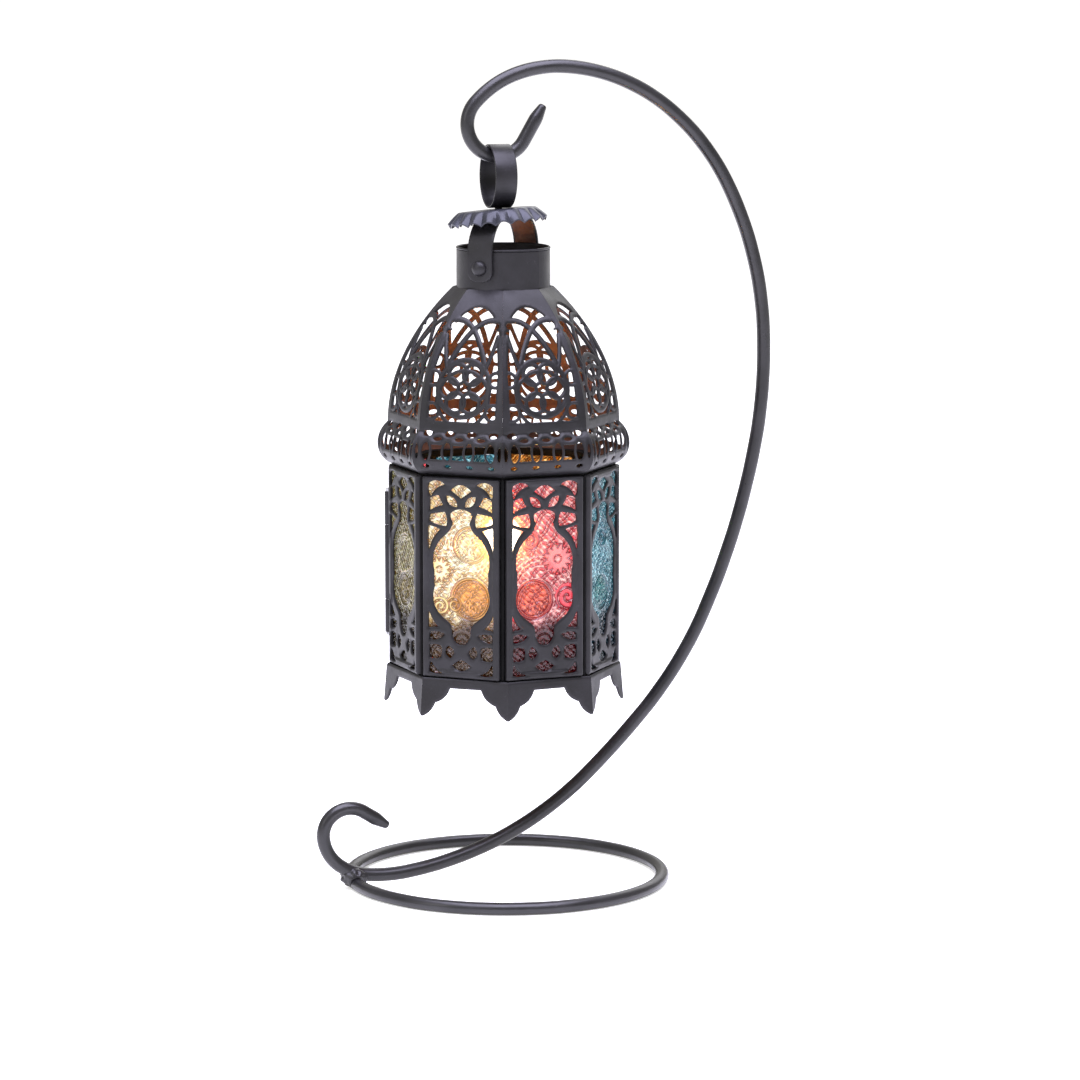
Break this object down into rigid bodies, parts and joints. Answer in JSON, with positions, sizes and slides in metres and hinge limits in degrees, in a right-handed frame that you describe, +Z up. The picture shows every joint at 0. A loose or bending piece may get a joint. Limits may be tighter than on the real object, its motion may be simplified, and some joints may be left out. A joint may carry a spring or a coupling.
{
  "type": "candle lantern",
  "caption": "Octagonal pierced-metal candle lantern with coloured glass panes and a hinged door, hanging from a bent-rod hook stand on a ring base.",
  "frame": {"origin": "centre of the object's footprint box, on the surface that the base ring stands on", "axes": "+Z up; -Y towards the viewer; +X to the viewer's right, the side the arm bends round"},
  "size_m": [0.1862, 0.1344, 0.3373],
  "materials": {
    "stand_paint": "satin charcoal enamel",
    "lantern_paint": "satin charcoal enamel on sheet steel",
    "bare_steel": "drawn wire",
    "wax": "ivory wax",
    "wick_cotton": "burnt cotton wick",
    "red_glass": "pressed relief, translucent",
    "blue_glass": "pressed relief, translucent",
    "green_glass": "pressed relief, translucent",
    "amber_glass": "pressed relief, translucent",
    "olive_glass": "pressed relief, translucent",
    "yellow_glass": "pressed relief, translucent"
  },
  "bodies": {
    "stand": {"base_ring": "stand_paint", "stand_rod": "stand_paint", "weld_bead": "stand_paint"},
    "loop": {"hanging_loop": "lantern_paint"},
    "bail": {"loop_rivet": "lantern_paint", "canopy_cap": "lantern_paint", "bail_strap": "lantern_paint"},
    "lantern": {"chimney_collar": "lantern_paint", "bail_rivet_front": "lantern_paint", "bail_rivet_rear": "lantern_paint", "dome_gore_1": "lantern_paint", "dome_gore_2": "lantern_paint", "dome_gore_3": "lantern_paint", "dome_gore_4": "lantern_paint", "dome_gore_5": "lantern_paint", "dome_gore_6": "lantern_paint", "dome_gore_7": "lantern_paint", "dome_gore_8": "lantern_paint", "upper_rail": "lantern_paint", "lower_rail": "lantern_paint", "corner_post_1": "lantern_paint", "corner_post_2": "lantern_paint", "corner_post_3": "lantern_paint", "corner_post_4": "lantern_paint", "corner_post_5": "lantern_paint", "corner_post_6": "lantern_paint", "corner_post_7": "lantern_paint", "corner_post_8": "lantern_paint", "base_skirt": "lantern_paint", "floor_plate": "lantern_paint", "candle_cup": "lantern_paint", "hinge_knuckle_lower": "lantern_paint", "hinge_knuckle_upper": "lantern_paint", "hinge_pin": "bare_steel", "front_right_panel": "lantern_paint", "right_front_panel": "lantern_paint", "right_rear_panel": "lantern_paint", "rear_right_panel": "lantern_paint", "rear_left_panel": "lantern_paint", "left_front_panel": "lantern_paint", "front_left_panel": "lantern_paint", "front_right_glass": "red_glass", "right_front_glass": "blue_glass", "right_rear_glass": "green_glass", "rear_right_glass": "amber_glass", "rear_left_glass": "blue_glass", "left_front_glass": "olive_glass", "front_left_glass": "yellow_glass"},
    "door": {"door_panel": "lantern_paint", "door_glass": "red_glass", "hinge_knuckle_door": "lantern_paint", "door_pull": "lantern_paint"},
    "candle": {"votive_candle": "wax", "wick": "wick_cotton"}
  },
  "joints": [
    {"name": "loop_swing", "type": "hinge", "parent": "stand", "child": "loop", "pos_m": [-0.0188, -0.00083, 0.2986], "axis": [0.9613, 0.2756, 0], "range_deg": [-25, 25]},
    {"name": "rivet_swivel", "type": "hinge", "parent": "loop", "child": "bail", "pos_m": [-0.0188, -0.00083, 0.277], "axis": [0, 0, 1], "range_deg": [-45, 45]},
    {"name": "bail_swing", "type": "hinge", "parent": "bail", "child": "lantern", "pos_m": [-0.01688, -0.00028, 0.2547], "axis": [0.454, 0.891, 0], "range_deg": [-6, 25]},
    {"name": "door_hinge", "type": "hinge", "parent": "lantern", "child": "door", "pos_m": [-0.06388, -0.00028, 0.133], "axis": [0, 0, 1], "range_deg": [0, 105]},
    {"name": "candle_lift", "type": "slide", "parent": "lantern", "child": "candle", "axis": [0, 0, 1], "range_m": [0, 0.015]}
  ]
}
